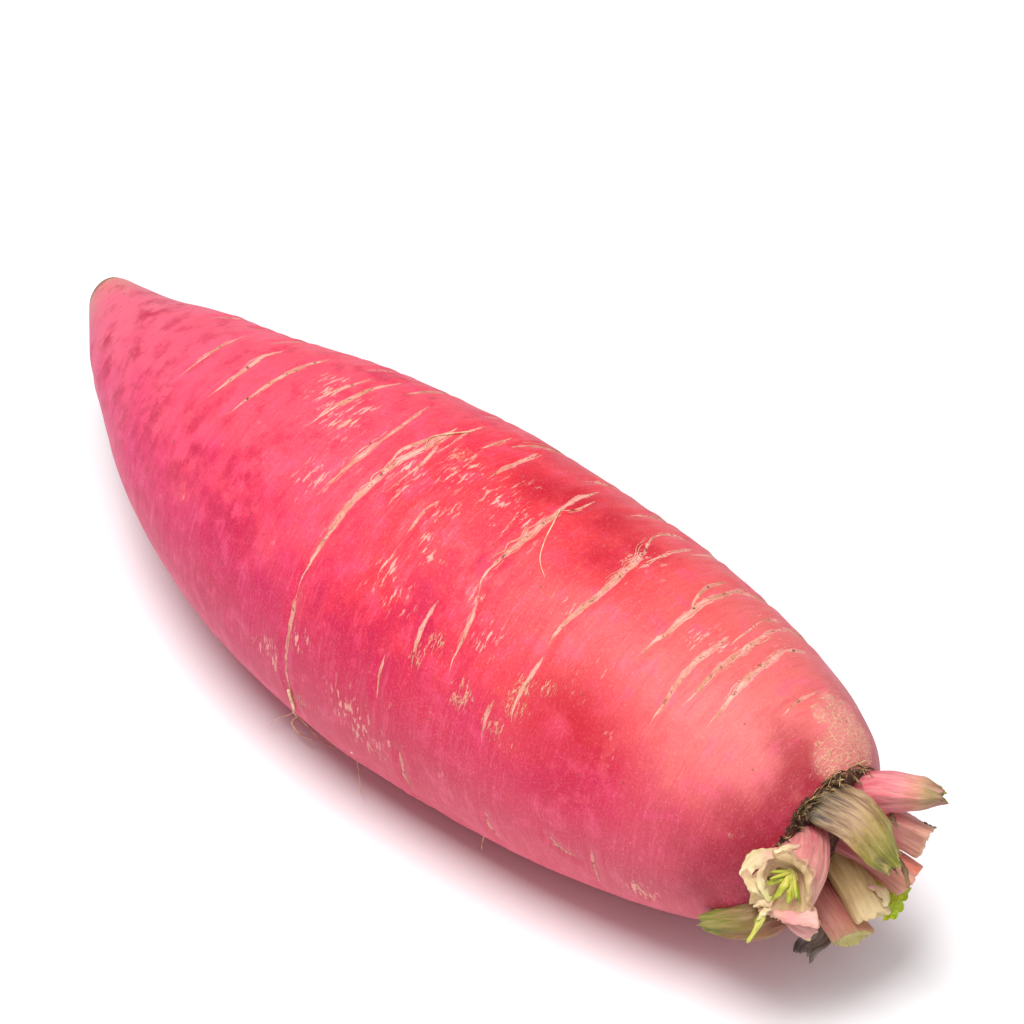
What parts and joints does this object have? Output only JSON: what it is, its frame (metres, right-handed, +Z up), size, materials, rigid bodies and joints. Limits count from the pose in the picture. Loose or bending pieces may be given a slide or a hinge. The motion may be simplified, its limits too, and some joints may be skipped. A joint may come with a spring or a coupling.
{
  "type": "daikon radish",
  "caption": "Whole pink-skinned daikon radish lying on its side, a stout tapered root with cross scars and the cut leaf stalks of its crown.",
  "frame": {"origin": "on the surface the radish lies on, under the middle of its bounding box", "axes": "+X along the root from tail to crown, +Z up; the root bows towards -Y"},
  "size_m": [0.273, 0.086, 0.0847],
  "materials": {
    "skin": "waxy satin root skin, magenta at the tail to coral at the crown, with corky cross scars",
    "stalk_pink": "ribbed pink leaf stalk with a cream cut end",
    "stalk_cream": "cream leaf stalk, satin",
    "stalk_coral": "coral leaf stalk, satin",
    "stalk_olive": "limp olive leaf stalk with green edges",
    "withered": "withered fibrous leaf stalk, tan and olive, dark at its base",
    "dry_grey": "dried grey leaf stalk, matt",
    "young_green": "fresh yellow-green leaf, satin"
  },
  "bodies": {
    "root": {"root": "skin", "withered_stalk": "withered", "flared_stalk": "stalk_pink", "upper_stalk": "stalk_pink", "cream_stalk": "stalk_cream", "channelled_stalk": "stalk_pink", "low_stalk": "stalk_pink", "middle_stalk": "stalk_pink", "round_stalk": "stalk_coral", "back_stalk": "stalk_pink", "folded_stalk": "stalk_olive", "pink_shred": "stalk_pink", "curled_dry_stalk": "dry_grey", "low_back_stalk": "stalk_pink", "young_leaf": "young_green", "bud_leaves": "young_green"}
  },
  "joints": []
}
